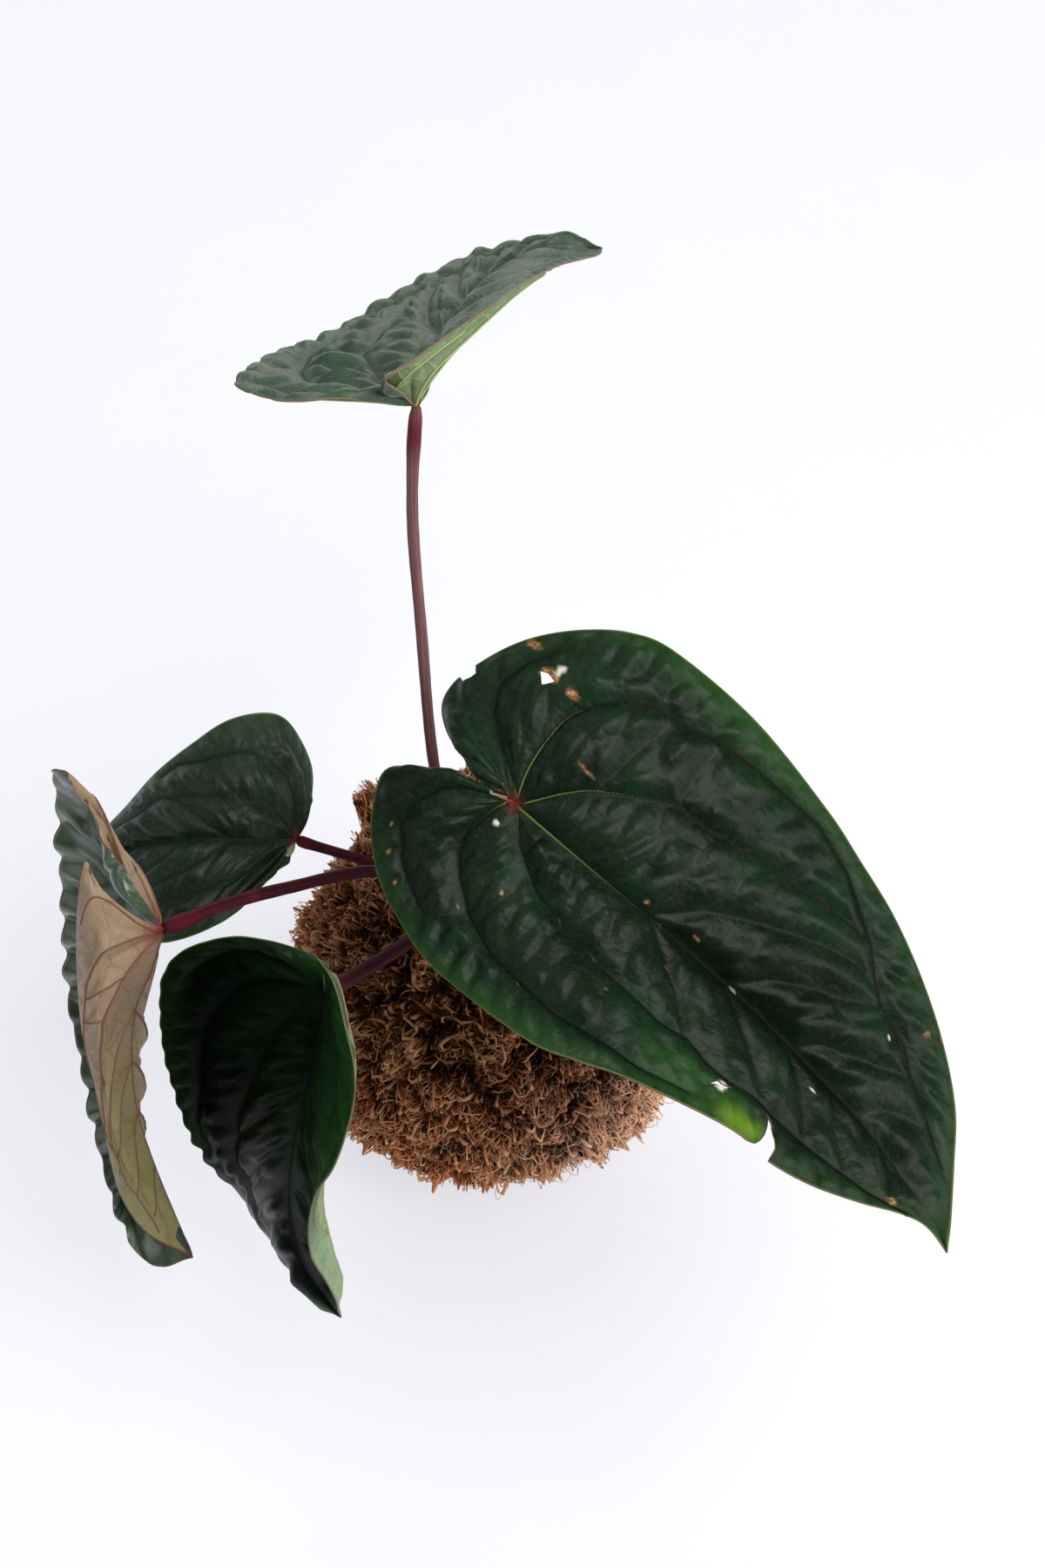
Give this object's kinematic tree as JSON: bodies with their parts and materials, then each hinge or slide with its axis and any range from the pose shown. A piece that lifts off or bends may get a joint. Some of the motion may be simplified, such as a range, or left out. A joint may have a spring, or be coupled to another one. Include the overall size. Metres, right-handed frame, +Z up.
{
  "type": "kokedama moss ball plant",
  "caption": "Moss-wrapped root ball that rests on a small flat spot, with slim arching petioles carrying large pointed heart-shaped leaves.",
  "frame": {"origin": "middle of the small flat spot on which the moss ball rests", "axes": "+Z up through the moss ball, -Y towards the viewer of the picture, +X to the viewer's right"},
  "size_m": [0.2221, 0.2736, 0.2609],
  "materials": {
    "moss": "shaggy brown and tan moss fibres, matte",
    "soil": "moist dark potting mix and roots, matte",
    "crown": "ringed woody rootstock, matte",
    "leaf_dark": "very dark green leaf, satin",
    "leaf_grey_green": "grey-green leaf, satin",
    "petiole": "purplish brown stalk, satin"
  },
  "bodies": {
    "root": {"moss_wrap": "moss", "soil_ball": "soil", "crown": "crown", "leaf_right": "leaf_dark", "leaf_top": "leaf_grey_green", "leaf_left": "leaf_grey_green", "leaf_back": "leaf_grey_green", "leaf_low": "leaf_dark", "petiole_right": "petiole", "petiole_top": "petiole", "petiole_left": "petiole", "petiole_back": "petiole", "petiole_low": "petiole"}
  },
  "joints": []
}
